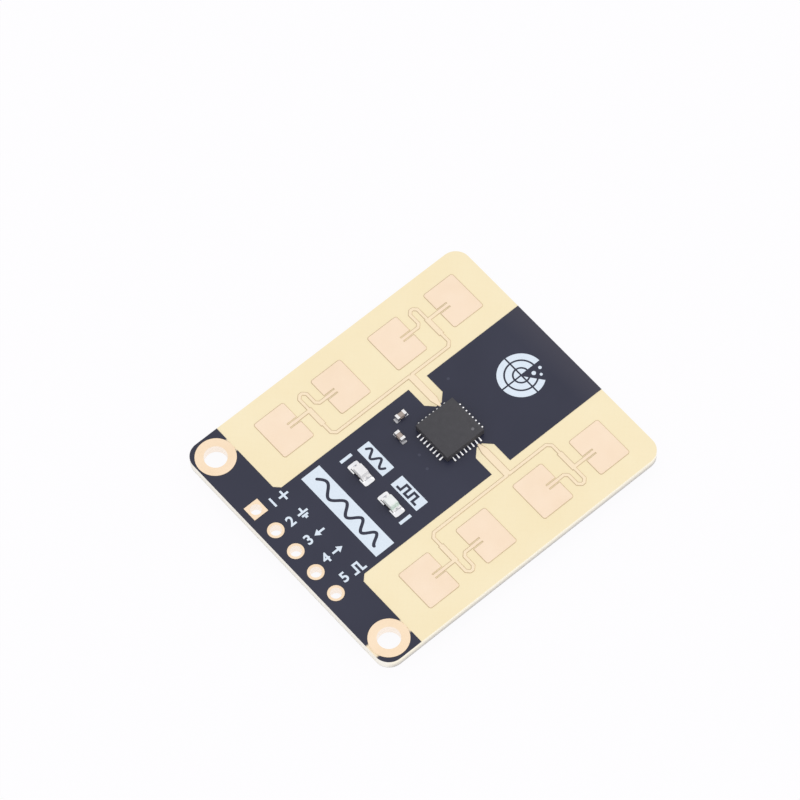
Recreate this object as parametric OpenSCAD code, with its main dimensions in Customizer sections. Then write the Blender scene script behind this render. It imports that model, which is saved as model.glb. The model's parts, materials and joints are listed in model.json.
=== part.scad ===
// Radar sensor module: a bare circuit board with two patch antenna arrays.
// X runs along the pin row, Y from the pin edge to the far edge, Z up.
// The tallest parts on the back stand on z = 0, and the board is centred on X and Y.
// Places along the board are given as distances from the pin edge.

/* [Board] */
// Width of the board, along the pin row
board_w = 26; // [24:0.5:32]
// Length of the board, from the pin edge to the far edge
board_l = 30; // [28.5:0.5:36]
// Thickness of the bare laminate
laminate_t = 0.95; // [0.6:0.05:2]
// Radius of the board's corners
corner_r = 1.4; // [0.5:0.1:1.6]
// Thickness of the solder mask on either face
mask_t = 0.025; // [0.015:0.005:0.03]
// Thickness of the copper on either face
copper_t = 0.035; // [0.035:0.005:0.07]
// Thickness of the copper in a plated hole
plating_t = 0.035; // [0.02:0.005:0.05]
// Clearance of the mask round a pad
mask_gap = 0.03; // [0.02:0.01:0.05]

/* [Mask windows] */
// Width of the black strip between the two antenna windows
strip_w = 10.52; // [9.6:0.1:11]
// Depth of the black band along the pin edge
band_l = 3.67; // [3.2:0.05:5]
// Corner cut of a window beside the strip
window_cut = 0.5; // [0.2:0.05:1]
// Width of the neck that leads the feed to the chip
neck_w = 2; // [1.2:0.1:2.4]
// Distance from the chip's side to the start of the neck's taper
neck_start = 1.25; // [1:0.05:1.6]
// Distance from the chip's side to the neck's tip
neck_end = 0.55; // [0.45:0.05:0.7]

/* [Patch antennas] */
// Width of a patch, across the board
patch_w = 4.03; // [3.6:0.01:4.4]
// Length of a patch, along the board
patch_l = 3.16; // [2.8:0.02:3.4]
// Corner radius of a patch
patch_r = 0.2; // [0.05:0.05:0.5]
// Distance between patch centres along the board
patch_pitch = 6.17; // [6:0.01:6.3]
// Distance from the strip's edge to the patch centres
column_gap = 3.94; // [3.6:0.02:4.3]
// Distance of the arrays' centre from the pin edge
array_y = 17; // [16.8:0.1:17.5]
// Width of the line that enters a patch
feed_w = 0.28; // [0.2:0.02:0.4]
// Width of the slot on either side of that line
slot_w = 0.15; // [0.1:0.01:0.25]
// Depth of the slots into the patch
slot_l = 1.05; // [0.7:0.05:1.4]

/* [Feed network] */
// Width of the thin lines
line_w = 0.25; // [0.18:0.01:0.32]
// Distance from the strip's edge to the trunk line
trunk_gap = 0.9; // [0.7:0.05:1]
// Corner cut where the trunk turns into an arm
trunk_cut = 0.35; // [0.2:0.05:0.5]
// Distance of the arms from the arrays' centre
arm_y = 6.45; // [6.3:0.05:6.6]
// Width of the broad part of an arm
arm_w = 0.44; // [0.36:0.02:0.5]
// Length of the broad part of an arm
arm_l = 1.75; // [1.2:0.05:2]
// Reach of the delay loop beyond the patch centres
loop_reach = 1.62; // [1.2:0.02:1.8]
// Distance between the loop's two runs
loop_gap = 0.8; // [0.7:0.05:0.95]
// Corner cut of the loop
loop_cut = 0.28; // [0.15:0.01:0.33]
// Width of the broad line from the trunk towards the chip
chip_line_w = 0.62; // [0.5:0.02:0.8]
// Depth of the notch in the trunk opposite that line
notch_l = 0.1; // [0.04:0.01:0.12]

/* [Holes] */
// Distance between the pin holes
pin_pitch = 2.54; // [2.4:0.02:2.6]
// Diameter of a pin hole after plating
pin_hole_d = 1; // [0.8:0.05:1.05]
// Width of a pin pad
pin_pad_d = 1.44; // [1.3:0.02:1.7]
// Distance of the pin row from the pin edge
pin_y = 1.28; // [1.2:0.02:1.6]
// Diameter of a mounting hole after plating
mount_hole_d = 2; // [1.7:0.1:2.4]
// Outer diameter of a mounting ring
mount_ring_d = 3.5; // [3:0.1:3.7]
// Distance of a mounting hole from the side edge
mount_x = 2; // [1.95:0.05:2.4]
// Distance of a mounting hole from the pin edge
mount_y = 1.9; // [1.9:0.05:2.2]

/* [Printing] */
// Thickness of the white printing
print_t = 0.02; // [0.01:0.005:0.03]
// Width of the wide box
title_w = 9.5; // [6:0.1:9.5]
// Height of the wide box
title_l = 2; // [1.2:0.1:2.2]
// Distance of the wide box's centre from the pin edge
title_y = 6.87; // [6.6:0.05:7.1]
// Width of a label box
label_w = 3.3; // [2.4:0.1:3.6]
// Height of a label box
label_l = 1.3; // [1:0.05:1.5]
// Distance of a label box from the centre line
label_x = 2.1; // [2:0.05:2.6]
// Distance of the label boxes from the pin edge
label_y = 11.73; // [11.6:0.05:12.4]
// Width of the bar beside an LED
bar_w = 0.33; // [0.2:0.01:0.4]
// Length of the bar beside an LED
bar_l = 1.2; // [0.8:0.05:1.4]
// Distance of the bar from the LED's centre
bar_x = 1.92; // [1.6:0.02:2.2]

/* [Solder] */
// Thickness of the solder under a part
solder_t = 0.03; // [0.02:0.005:0.05]

/* [Radar chip] */
// Side of the chip's body
chip_w = 4; // [3.8:0.1:4.2]
// Height of the chip's body
chip_h = 0.75; // [0.5:0.05:0.9]
// Distance of the chip from the pin edge
chip_y = 17.95; // [17.6:0.05:18.2]
// Least space between the lead rows at the chip's corners
lead_corner = 0.05; // [0:0.01:0.08]
// Distance between the chip's leads
lead_pitch = 0.4; // [0.4:0.01:0.42]
// Width of a chip lead
lead_w = 0.18; // [0.16:0.01:0.24]
// Length of a chip lead under the body
lead_l = 0.4; // [0.3:0.05:0.5]
// Thickness of the chip's leads and heat pad
lead_t = 0.2; // [0.12:0.01:0.25]
// Gap between the heat pad and the leads
heat_gap = 0.3; // [0.2:0.05:0.6]
// Length of the solder toe beyond the chip's side
toe_l = 0.4; // [0.25:0.05:0.4]
// Height of the solder toe against the chip's side
toe_h = 0.15; // [0.05:0.01:0.2]
// Diameter of the dimple that marks the first lead
dimple_d = 0.3; // [0.2:0.05:0.5]
// Depth of the dimple
dimple_h = 0.03; // [0.01:0.01:0.06]
// Distance of the dimple from the chip's sides
dimple_in = 0.66; // [0.4:0.02:0.8]

/* [Small capacitors and resistors] */
// Length of a small chip part
small_l = 0.96; // [0.9:0.02:1.1]
// Width of a small chip part
small_w = 0.46; // [0.4:0.02:0.6]
// Height of a small capacitor
small_cap_h = 0.5; // [0.3:0.02:0.6]
// Height of a resistor
resistor_h = 0.35; // [0.25:0.02:0.4]
// Length of a metal end
small_end_l = 0.25; // [0.15:0.01:0.3]
// Thickness of the metal on an end
end_t = 0.02; // [0.01:0.005:0.04]
// Length of the solder beyond an end
small_toe_l = 0.17; // [0.12:0.01:0.25]
// Height of the solder up an end
small_climb = 0.2; // [0.08:0.01:0.25]

/* [Tank capacitors] */
// Length of a tank capacitor
tank_l = 2; // [1.8:0.05:2.2]
// Width of a tank capacitor
tank_w = 1.25; // [1.1:0.05:1.3]
// Height of a tank capacitor
tank_h = 0.85; // [0.6:0.05:1]
// Length of a metal end
tank_end_l = 0.45; // [0.3:0.05:0.6]
// Length of the solder beyond an end
tank_toe_l = 0.35; // [0.2:0.05:0.4]
// Height of the solder up an end
tank_climb = 0.28; // [0.1:0.02:0.5]

/* [LEDs] */
// Length of an LED
led_l = 1.6; // [1.5:0.05:1.7]
// Width of an LED
led_w = 0.85; // [0.7:0.05:0.9]
// Thickness of the LED's base
led_base_t = 0.26; // [0.2:0.02:0.35]
// Height of the lens above the base
led_lens_h = 0.42; // [0.25:0.01:0.45]
// Length of the lens
led_lens_l = 1.16; // [1:0.02:1.2]
// Inward slope of the lens's ends from foot to top
led_end_draft = 0.12; // [0.04:0.01:0.16]
// Inward slope of the lens's long sides from foot to top
led_side_draft = 0.04; // [0.02:0.01:0.1]
// Length of an LED terminal
led_end_l = 0.3; // [0.22:0.02:0.32]
// Diameter of the half-round recess in an LED's end
led_recess_d = 0.3; // [0.2:0.02:0.4]
// Side of the LED's die
led_die_w = 0.25; // [0.15:0.01:0.3]
// Height of the LED's die
led_die_h = 0.1; // [0.06:0.01:0.15]
// Distance of the LEDs from the centre line
led_x = 1.9; // [1.85:0.05:2.2]
// Distance of the LEDs from the pin edge
led_y = 9.93; // [9.6:0.01:10]
// Width of an LED's solder pads
led_pad_w = 1.04; // [0.8:0.02:1.1]
// Reach of a solder pad past the inner end of an LED's terminal
led_pad_reach = 0.14; // [0:0.02:0.2]
// Length of the solder beyond an LED's end
led_toe_l = 0.42; // [0.2:0.02:0.44]

/* [Regulator] */
// Length of the regulator's body
regulator_l = 2.9; // [2.8:0.05:3.1]
// Width of the regulator's body
regulator_w = 1.6; // [1.5:0.05:1.8]
// Height of the regulator above its feet
regulator_h = 1.1; // [0.9:0.05:1.3]
// Distance between the regulator's leads
regulator_pitch = 0.95; // [0.9:0.01:1]
// Width of a regulator lead
regulator_lead_w = 0.4; // [0.3:0.02:0.5]
// Span over the regulator's feet
regulator_span = 2.8; // [2.7:0.05:3]

/* [Memory] */
// Length of the memory's body, along its lead rows
memory_l = 3; // [2.9:0.05:3.1]
// Width of the memory's body
memory_w = 4.4; // [4.2:0.05:4.6]
// Height of the memory above its feet
memory_h = 1.1; // [0.9:0.05:1.2]
// Distance between the memory's leads
memory_pitch = 0.65; // [0.6:0.01:0.7]
// Width of a memory lead
memory_lead_w = 0.25; // [0.2:0.01:0.3]
// Span over the memory's feet
memory_span = 6.4; // [6.2:0.05:6.6]

/* [Lead frames] */
// Thickness of a bent lead
bent_t = 0.15; // [0.1:0.01:0.18]
// Length of a lead's foot
foot_l = 0.45; // [0.3:0.05:0.5]
// Gap between a moulded body and the plane of its feet
standoff = 0.08; // [0.05:0.01:0.15]
// Inward slope of a moulded body from its parting line to its faces
mould_draft = 0.08; // [0.04:0.01:0.12]
// Depth to which a bent lead enters its body
lead_in = 0.15; // [0.1:0.05:0.3]
// Length of the solder beyond a foot
foot_toe_l = 0.2; // [0.1:0.02:0.3]
// Height of the solder up a foot's end
foot_climb = 0.08; // [0.04:0.01:0.1]

/* [Crystal] */
// Length of the crystal
crystal_l = 3.2; // [3:0.1:3.3]
// Width of the crystal
crystal_w = 2.5; // [2.3:0.1:2.6]
// Thickness of the ceramic base
crystal_base_t = 0.45; // [0.3:0.05:0.55]
// Thickness of the metal lid
crystal_lid_t = 0.2; // [0.1:0.02:0.3]
// Margin of the base round the lid
crystal_rim = 0.12; // [0.06:0.02:0.3]
// Radius of the quarter-round recesses in the base's corners
crystal_recess_r = 0.2; // [0.1:0.05:0.25]
// Length of a crystal terminal
crystal_pad_l = 0.95; // [0.7:0.05:1.1]
// Width of a crystal terminal
crystal_pad_w = 0.8; // [0.6:0.05:0.9]
// Thickness of a crystal terminal
crystal_pad_t = 0.03; // [0.02:0.01:0.05]

/* [Hidden] */
$fn = 48;
pin_count = 5;
// Overrun of a cutting shape, so that no face is left behind
over = 0.2;
fillet_steps = 5;

// Heights of the faces that pieces lie on
stand_h = max(regulator_h, memory_h);
laminate_z = stand_h + solder_t + copper_t;
top_z = laminate_z + laminate_t;
top_seat = top_z + copper_t + solder_t;
back_seat = laminate_z - copper_t - solder_t;

// Sizes that follow the chip's width
heat_pad_w = chip_w - 2 * (lead_l + heat_gap);
lead_row = chip_w - 2 * (lead_l + lead_corner) - lead_w;
lead_count = 2 * floor((lead_row / lead_pitch + 1) / 2);

// Places across the board
strip_x = strip_w / 2;
trunk_x = strip_x + trunk_gap;
column_x = strip_x + column_gap;
mount_hole_x = board_w / 2 - mount_x;
// Number of lead pitches from the middle of the chip's side to the lead with the feed
feed_lead = 2.5;
feed_y = chip_y + feed_lead * lead_pitch;
toe_x = chip_w / 2 + toe_l;

// Small parts: place across and along the board, and turn
top_capacitors = [[-3.72, 15.8, 90], [-2.3, 14.49, 0]];
decoupling_places = [[-3.3, 17.2, 0], [-3.3, 18.7, 0], [3.3, 17.2, 0], [3.3, 18.7, 0]];
load_places = [[-2.7, 21.3, 90], [2.7, 21.3, 90]];
resistor_places = [[-1.9, 10.4, 0], [1.9, 10.4, 0]];
tank_places = [[-4.4, 6.3, 90], [2, 6.3, 90]];
regulator_place = [-1.2, 6.3];
crystal_place = [0, 21.3];
memory_place = [0, 25.2];

// Places of the feet along their two rows
regulator_rows = [[-regulator_pitch, 0, regulator_pitch], [-regulator_pitch, regulator_pitch]];
memory_row = [for (k = [-1.5:1.5]) k * memory_pitch];
memory_rows = [memory_row, memory_row];

// Places a child on the top, at a place [across, along, turn]
module on_top(place) {
    translate([place[0], place[1] - board_l / 2, top_seat]) rotate(place[2]) children();
}

// Places a child upside down on the back
module on_back(place) {
    translate([place[0], place[1] - board_l / 2, back_seat]) mirror([0, 0, 1]) rotate(place[2]) children();
}

// Shifts a flat outline that is drawn from the pin edge
module from_pin_edge(y) { translate([0, y - board_l / 2]) children(); }

// Draws a child on the right and mirrored on the left
module both_sides() {
    children();
    mirror([1, 0]) children();
}

// A rectangle with round corners
module round_plate(w, l, r) {
    square([w - 2 * r, l], center = true);
    square([w, l - 2 * r], center = true);
    for (x = [-1, 1], y = [-1, 1]) translate([x * (w / 2 - r), y * (l / 2 - r)]) circle(r);
}

// A copper line of one width through a list of points, with round corners
module trace(points, w) {
    for (i = [1:len(points) - 1]) {
        run = points[i] - points[i - 1];
        translate(points[i - 1]) rotate(atan2(run[1], run[0]))
            translate([0, -w / 2]) square([norm(run), w]);
        if (i < len(points) - 1) translate(points[i]) circle(d = w);
    }
}

// Shapes of the board

module board_outline() { round_plate(board_w, board_l, corner_r); }

// Opening in the mask over the right antenna, with its neck to the chip
module mask_window() {
    far = board_l + over;
    side = board_w / 2 + over;
    neck_tip_w = neck_w - 2 * (neck_start - neck_end);
    from_pin_edge(0) polygon([
        [strip_x + window_cut, band_l], [side, band_l], [side, far], [strip_x, far],
        [strip_x, feed_y + neck_w / 2],
        [chip_w / 2 + neck_start, feed_y + neck_w / 2],
        [chip_w / 2 + neck_end, feed_y + neck_tip_w / 2],
        [chip_w / 2 + neck_end, feed_y - neck_tip_w / 2],
        [chip_w / 2 + neck_start, feed_y - neck_w / 2],
        [strip_x, feed_y - neck_w / 2],
        [strip_x, band_l + window_cut]]);
}

// Opening that carries the feed line from the neck to the chip's lead
module feed_opening() {
    from_pin_edge(feed_y) translate([chip_w / 2, -lead_w / 2 - mask_gap])
        square([neck_end + over, lead_w + 2 * mask_gap]);
}

module pin_pad_outline(i, grow) {
    size = pin_pad_d + 2 * grow;
    translate([(i - (pin_count - 1) / 2) * pin_pitch, 0]) from_pin_edge(pin_y)
        if (i == 0) square(size, center = true);
        else circle(d = size);
}

module hole_openings() {
    for (i = [0:pin_count - 1]) pin_pad_outline(i, mask_gap);
    both_sides() translate([mount_hole_x, 0]) from_pin_edge(mount_y) circle(d = mount_ring_d + 2 * mask_gap);
}

module substrate() {
    color([0.95, 0.9, 0.76]) translate([0, 0, laminate_z]) difference() {
        linear_extrude(laminate_t) board_outline();
        for (i = [0:pin_count - 1])
            translate([(i - (pin_count - 1) / 2) * pin_pitch, pin_y - board_l / 2, -over])
                cylinder(d = pin_hole_d + 2 * plating_t, h = laminate_t + 2 * over);
        for (x = [-1, 1]) translate([x * mount_hole_x, mount_y - board_l / 2, -over])
            cylinder(d = mount_hole_d + 2 * plating_t, h = laminate_t + 2 * over);
    }
}

module solder_mask_top() {
    color([0.22, 0.21, 0.27]) translate([0, 0, top_z]) linear_extrude(mask_t) difference() {
        board_outline();
        both_sides() {
            mask_window();
            feed_opening();
        }
        hole_openings();
        top_pads(mask_gap);
    }
}

module solder_mask_back() {
    color([0.22, 0.21, 0.27]) translate([0, 0, laminate_z - mask_t]) linear_extrude(mask_t) difference() {
        board_outline();
        hole_openings();
        back_pads(mask_gap);
    }
}

// A plated hole: a tube through the laminate with a flange on either face
module plated_hole(hole_d, ring_d) {
    rotate_extrude() translate([hole_d / 2, 0]) {
        square([plating_t, laminate_t]);
        for (z = [-copper_t, laminate_t]) translate([0, z]) square([(ring_d - hole_d) / 2, copper_t]);
    }
}

// The first pin's pads are square
module square_plated_hole() {
    difference() {
        union() {
            cylinder(d = pin_hole_d + 2 * plating_t, h = laminate_t);
            for (z = [-copper_t, laminate_t]) translate([-pin_pad_d / 2, -pin_pad_d / 2, z])
                cube([pin_pad_d, pin_pad_d, copper_t]);
        }
        translate([0, 0, -over]) cylinder(d = pin_hole_d, h = laminate_t + 2 * over);
    }
}

module pin_hole(i) {
    color([0.93, 0.77, 0.5])
        translate([(i - (pin_count - 1) / 2) * pin_pitch, pin_y - board_l / 2, laminate_z])
            if (i == 0) square_plated_hole();
            else plated_hole(pin_hole_d, pin_pad_d);
}

module mounting_ring(side) {
    color([0.93, 0.77, 0.5]) translate([side * mount_hole_x, mount_y - board_l / 2, laminate_z])
        plated_hole(mount_hole_d, mount_ring_d);
}

// Antennas, drawn for the right side of the board

// One patch, fed from its pin-edge side between two slots
module patch() {
    difference() {
        round_plate(patch_w, patch_l, patch_r);
        for (s = [-1, 1]) translate([s * (feed_w + slot_w) / 2 - slot_w / 2, -patch_l / 2 - over])
            square([slot_w, slot_l + over]);
    }
}

// Far half of an array from its centre: two patches, the arm, the entry line and the delay loop
module array_half() {
    outer_y = 1.5 * patch_pitch;
    inner_y = 0.5 * patch_pitch;
    entry_l = slot_l / 2;
    translate([0, outer_y]) patch();
    translate([0, inner_y]) mirror([0, 1]) patch();
    trace([[0, arm_y], [0, outer_y - patch_l / 2 + entry_l]], feed_w);
    translate([-arm_l, arm_y - arm_w / 2]) square([arm_l + feed_w / 2, arm_w]);
    trace([[trunk_x - column_x, 0],
        [trunk_x - column_x, arm_y - trunk_cut],
        [trunk_x - column_x + trunk_cut, arm_y],
        [0, arm_y]], line_w);
    trace([[0, arm_y],
        [loop_reach - loop_cut, arm_y],
        [loop_reach, arm_y - loop_cut],
        [loop_reach, arm_y - loop_gap + loop_cut],
        [loop_reach - loop_cut, arm_y - loop_gap],
        [loop_cut, arm_y - loop_gap],
        [0, arm_y - loop_gap - loop_cut],
        [0, inner_y + patch_l / 2 - entry_l]], line_w);
}

// Broad line from the trunk, tapering to the width of the chip's lead
module chip_line() {
    taper_x = chip_w / 2 + neck_start;
    polygon([[trunk_x, -chip_line_w / 2], [trunk_x, chip_line_w / 2],
        [taper_x, chip_line_w / 2], [toe_x, lead_w / 2],
        [toe_x, -lead_w / 2], [taper_x, -chip_line_w / 2]]);
}

module antenna_array() {
    notch_x = trunk_x + line_w / 2;
    difference() {
        union() {
            translate([column_x, 0]) from_pin_edge(array_y) {
                array_half();
                mirror([0, 1]) array_half();
            }
            from_pin_edge(feed_y) chip_line();
        }
        from_pin_edge(feed_y) polygon([[notch_x - notch_l, 0],
            [notch_x + over, -notch_l - over], [notch_x + over, notch_l + over]]);
    }
}

module antenna(side) {
    color([0.97, 0.83, 0.68]) translate([0, 0, top_z]) linear_extrude(copper_t)
        if (side > 0) antenna_array();
        else mirror([1, 0]) antenna_array();
}

// Pads, each drawn for its part at a place, grown by a margin for the mask

module end_pads(l, w, end_l, toe, grow) {
    pad_l = end_l + toe;
    for (s = [-1, 1]) translate([s * (l / 2 + toe - pad_l / 2), 0])
        square([pad_l + 2 * grow, w + 2 * grow], center = true);
}

module small_pads(grow) { end_pads(small_l, small_w, small_end_l, small_toe_l, grow); }

module tank_pads(grow) { end_pads(tank_l, tank_w, tank_end_l, tank_toe_l, grow); }

module led_pads(grow) { end_pads(led_l, led_pad_w, led_end_l + led_pad_reach, led_toe_l, grow); }

// Places a flat outline for a part on either face
module flat_place(place) {
    translate([place[0], place[1] - board_l / 2]) rotate(place[2]) children();
}

// Repeats a child at each chip lead, pointing outwards from the chip's side
module each_chip_lead() {
    for (turn = [0:90:270], k = [0:lead_count - 1])
        rotate(turn) translate([chip_w / 2, (k - (lead_count - 1) / 2) * lead_pitch]) children();
}

module chip_pads(grow) {
    each_chip_lead() translate([-lead_l - grow, -lead_w / 2 - grow])
        square([lead_l + toe_l + 2 * grow, lead_w + 2 * grow]);
    square(heat_pad_w + 2 * grow, center = true);
}

module top_pads(grow) {
    flat_place([0, chip_y, 0]) chip_pads(grow);
    for (place = top_capacitors) flat_place(place) small_pads(grow);
    for (s = [-1, 1]) flat_place([s * led_x, led_y, 0]) led_pads(grow);
}

// Repeats a child at each foot of a part with bent leads in two rows along X.
// Each row is a list of lead places, and a foot points outwards along X of its own frame
module each_foot(rows, span) {
    for (row = [0, 1], x = rows[row])
        translate([x, (row == 0 ? -1 : 1) * span / 2, 0]) rotate(row == 0 ? -90 : 90) children();
}

module foot_pad(w, grow) {
    translate([-foot_l - grow, -w / 2 - grow]) square([foot_l + foot_toe_l + 2 * grow, w + 2 * grow]);
}

module crystal_pads(grow) {
    for (x = [-1, 1], y = [-1, 1])
        translate([x * (crystal_l - crystal_pad_l) / 2, y * (crystal_w - crystal_pad_w) / 2])
            square([crystal_pad_l + 2 * grow, crystal_pad_w + 2 * grow], center = true);
}

module back_pads(grow) {
    for (place = concat(decoupling_places, load_places, resistor_places)) flat_place(place) small_pads(grow);
    for (place = tank_places) flat_place(place) tank_pads(grow);
    flat_place([regulator_place[0], regulator_place[1], 0])
        each_foot(regulator_rows, regulator_span) foot_pad(regulator_lead_w, grow);
    flat_place([memory_place[0], memory_place[1], 90])
        each_foot(memory_rows, memory_span) foot_pad(memory_lead_w, grow);
    flat_place([crystal_place[0], crystal_place[1], 0]) crystal_pads(grow);
}

module copper_pads_top() {
    color([0.9, 0.75, 0.48]) translate([0, 0, top_z]) linear_extrude(copper_t) top_pads(0);
}

module copper_pads_back() {
    color([0.9, 0.75, 0.48]) translate([0, 0, laminate_z - copper_t]) linear_extrude(copper_t) back_pads(0);
}

// White boxes and bars printed on the mask
module silkscreen_top() {
    color([0.9, 0.94, 0.98]) translate([0, 0, top_z + mask_t]) linear_extrude(print_t) {
        from_pin_edge(title_y) square([title_w, title_l], center = true);
        both_sides() {
            translate([label_x, 0]) from_pin_edge(label_y) square([label_w, label_l], center = true);
            translate([led_x + bar_x - bar_w / 2, 0]) from_pin_edge(led_y)
                square([bar_w, bar_l], center = true);
        }
    }
}

// Solder, drawn at the end of a terminal: a thin layer under it and a hollow fillet up its end face
module solder_joint(under, beyond, w, climb) {
    curve = [for (i = [0:fillet_steps]) let (a = 90 * i / fillet_steps)
        [beyond * (1 - sin(a)), solder_t + climb * (1 - cos(a))]];
    translate([0, w / 2, -solder_t]) rotate([90, 0, 0]) linear_extrude(w)
        polygon(concat([[-under, 0], [beyond, 0]], curve, [[0, solder_t], [-under, solder_t]]));
}

module end_solder(l, w, end_l, toe, climb) {
    for (turn = [0, 180]) rotate(turn) translate([l / 2, 0, 0]) solder_joint(end_l, toe, w, climb);
}

module small_solder() { end_solder(small_l, small_w, small_end_l, small_toe_l, small_climb); }

module solder_top() {
    color([0.82, 0.83, 0.84]) {
        on_top([0, chip_y, 0]) {
            each_chip_lead() solder_joint(lead_l, toe_l, lead_w, toe_h);
            translate([0, 0, -solder_t / 2]) cube([heat_pad_w, heat_pad_w, solder_t], center = true);
        }
        for (place = top_capacitors) on_top(place) small_solder();
        for (s = [-1, 1]) on_top([s * led_x, led_y, 0])
            end_solder(led_l, led_w, led_end_l, led_toe_l, led_base_t);
    }
}

module solder_back() {
    color([0.82, 0.83, 0.84]) {
        for (place = concat(decoupling_places, load_places, resistor_places)) on_back(place) small_solder();
        for (place = tank_places) on_back(place)
            end_solder(tank_l, tank_w, tank_end_l, tank_toe_l, tank_climb);
        on_back([regulator_place[0], regulator_place[1], 0]) each_foot(regulator_rows, regulator_span)
            solder_joint(foot_l, foot_toe_l, regulator_lead_w, foot_climb);
        on_back([memory_place[0], memory_place[1], 90]) each_foot(memory_rows, memory_span)
            solder_joint(foot_l, foot_toe_l, memory_lead_w, foot_climb);
        on_back([crystal_place[0], crystal_place[1], 0]) translate([0, 0, -solder_t])
            linear_extrude(solder_t) crystal_terminal_outline();
    }
}

// Radar chip, seated at z = 0

module chip_lead_bars() {
    each_chip_lead() translate([-lead_l, -lead_w / 2, 0]) cube([lead_l, lead_w, lead_t]);
}

module chip_heat_pad() {
    translate([-heat_pad_w / 2, -heat_pad_w / 2, 0]) cube([heat_pad_w, heat_pad_w, lead_t]);
}

module radar_chip_body() {
    color([0.29, 0.29, 0.3]) on_top([0, chip_y, 0]) difference() {
        translate([-chip_w / 2, -chip_w / 2, 0]) cube([chip_w, chip_w, chip_h]);
        chip_lead_bars();
        chip_heat_pad();
        translate([chip_w / 2 - dimple_in, chip_w / 2 - dimple_in, chip_h - dimple_h])
            cylinder(d = dimple_d, h = dimple_h + over);
    }
}

module radar_chip_leads() {
    color([0.85, 0.85, 0.84]) on_top([0, chip_y, 0]) chip_lead_bars();
}

module radar_chip_pad() {
    color([0.85, 0.85, 0.84]) on_top([0, chip_y, 0]) chip_heat_pad();
}

// Chip parts with metal ends, along X and seated at z = 0

module ceramic_block(l, w, h) {
    translate([-l / 2 + end_t, -w / 2 + end_t, end_t]) cube([l - 2 * end_t, w - 2 * end_t, h - 2 * end_t]);
}

module metal_ends(l, w, h, end_l) {
    difference() {
        for (x = [-l / 2, l / 2 - end_l]) translate([x, -w / 2, 0]) cube([end_l, w, h]);
        ceramic_block(l, w, h);
    }
}

module capacitor_block() { color([0.66, 0.58, 0.52]) ceramic_block(small_l, small_w, small_cap_h); }

module capacitor_ends() { color([0.85, 0.85, 0.84]) metal_ends(small_l, small_w, small_cap_h, small_end_l); }

module resistor_block() { color([0.12, 0.12, 0.13]) ceramic_block(small_l, small_w, resistor_h); }

module resistor_ends() { color([0.85, 0.85, 0.84]) metal_ends(small_l, small_w, resistor_h, small_end_l); }

module tank_block() { color([0.62, 0.52, 0.42]) ceramic_block(tank_l, tank_w, tank_h); }

module tank_ends() { color([0.85, 0.85, 0.84]) metal_ends(tank_l, tank_w, tank_h, tank_end_l); }

// LED, along X and seated at z = 0

// Half-round recesses in both ends of the base, widened by a margin
module led_recesses(margin) {
    for (x = [-1, 1]) translate([x * led_l / 2, 0, -over])
        cylinder(d = led_recess_d + 2 * margin, h = led_base_t + 2 * over);
}

module led_base_core() {
    difference() {
        translate([-led_l / 2 + end_t, -led_w / 2, end_t])
            cube([led_l - 2 * end_t, led_w, led_base_t - 2 * end_t]);
        led_recesses(end_t);
    }
}

module led_base() { color([0.36, 0.34, 0.31]) led_base_core(); }

module led_terminals() {
    color([0.87, 0.86, 0.83]) difference() {
        for (x = [-led_l / 2, led_l / 2 - led_end_l]) translate([x, -led_w / 2, 0])
            cube([led_end_l, led_w, led_base_t]);
        led_base_core();
        led_recesses(0);
    }
}

module led_die() {
    color([0.95, 0.9, 0.5]) translate([-led_die_w / 2, -led_die_w / 2, led_base_t - end_t])
        cube([led_die_w, led_die_w, led_die_h]);
}

// A four-sided block that narrows upwards, from z = 0
module drafted_block(l, w, h, end_draft, side_draft) {
    intersection() {
        translate([0, w / 2, 0]) rotate([90, 0, 0]) linear_extrude(w)
            polygon([[-l / 2, 0], [l / 2, 0], [l / 2 - end_draft, h], [-l / 2 + end_draft, h]]);
        translate([-l / 2, 0, 0]) rotate([90, 0, 90]) linear_extrude(l)
            polygon([[-w / 2, 0], [w / 2, 0], [w / 2 - side_draft, h], [-w / 2 + side_draft, h]]);
    }
}

module led_lens() {
    gap_l = led_l - 2 * led_end_l;
    color([0.93, 0.95, 0.94]) difference() {
        union() {
            translate([0, 0, led_base_t])
                drafted_block(led_lens_l, led_w, led_lens_h, led_end_draft, led_side_draft);
            translate([-gap_l / 2, -led_w / 2, led_base_t - end_t]) cube([gap_l, led_w, end_t]);
        }
        led_die();
    }
}

// Parts with a moulded body and bent leads, rows along X and feet on z = 0

module bent_lead(w, reach, height) {
    shoulder_z = (height + standoff) / 2 - bent_t / 2;
    knee = foot_l - bent_t;
    translate([0, w / 2, 0]) rotate([90, 0, 0]) linear_extrude(w)
        polygon([[0, 0], [0, bent_t], [-knee, bent_t], [-knee - bent_t, shoulder_z + bent_t],
            [-reach, shoulder_z + bent_t], [-reach, shoulder_z], [-foot_l - bent_t, shoulder_z], [-foot_l, 0]]);
}

module bent_leads(rows, span, body_w, w, height) {
    reach = (span - body_w) / 2 + lead_in;
    each_foot(rows, span) bent_lead(w, reach, height);
}

module moulded_body(l, w, height) {
    half_h = (height - standoff) / 2;
    translate([0, 0, standoff + half_h]) {
        drafted_block(l, w, half_h, mould_draft, mould_draft);
        mirror([0, 0, 1]) drafted_block(l, w, half_h, mould_draft, mould_draft);
    }
}

module regulator_lead_frame() {
    bent_leads(regulator_rows, regulator_span, regulator_w, regulator_lead_w, regulator_h);
}

module regulator_body() {
    color([0.16, 0.16, 0.17]) on_back([regulator_place[0], regulator_place[1], 0]) difference() {
        moulded_body(regulator_l, regulator_w, regulator_h);
        regulator_lead_frame();
    }
}

module regulator_leads() {
    color([0.85, 0.85, 0.84]) on_back([regulator_place[0], regulator_place[1], 0]) regulator_lead_frame();
}

module memory_lead_frame() {
    bent_leads(memory_rows, memory_span, memory_w, memory_lead_w, memory_h);
}

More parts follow.
